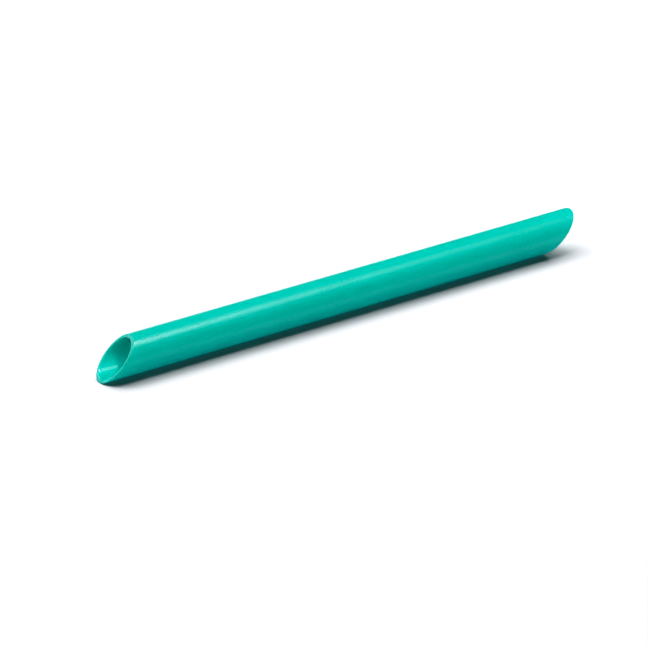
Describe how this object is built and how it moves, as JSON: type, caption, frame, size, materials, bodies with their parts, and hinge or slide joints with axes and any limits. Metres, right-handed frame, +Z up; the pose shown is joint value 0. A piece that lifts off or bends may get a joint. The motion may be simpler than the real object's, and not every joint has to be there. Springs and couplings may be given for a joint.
{
  "type": "suction tube",
  "caption": "Straight hollow plastic suction tube lying on its side, open from end to end, with parallel slant-cut mouths and rounded lips.",
  "frame": {"origin": "on the surface the tube lies on, under the middle of its length", "axes": "+X along the tube, towards the end whose upper wall reaches furthest; +Y across it; +Z up, away from the surface it lies on"},
  "size_m": [0.1524, 0.011, 0.011],
  "materials": {
    "tube_plastic": "opaque teal green moulded plastic, satin, with a fine even grain on the outside and a smoother bore"
  },
  "bodies": {
    "root": {"suction_tube": "tube_plastic"}
  },
  "joints": []
}
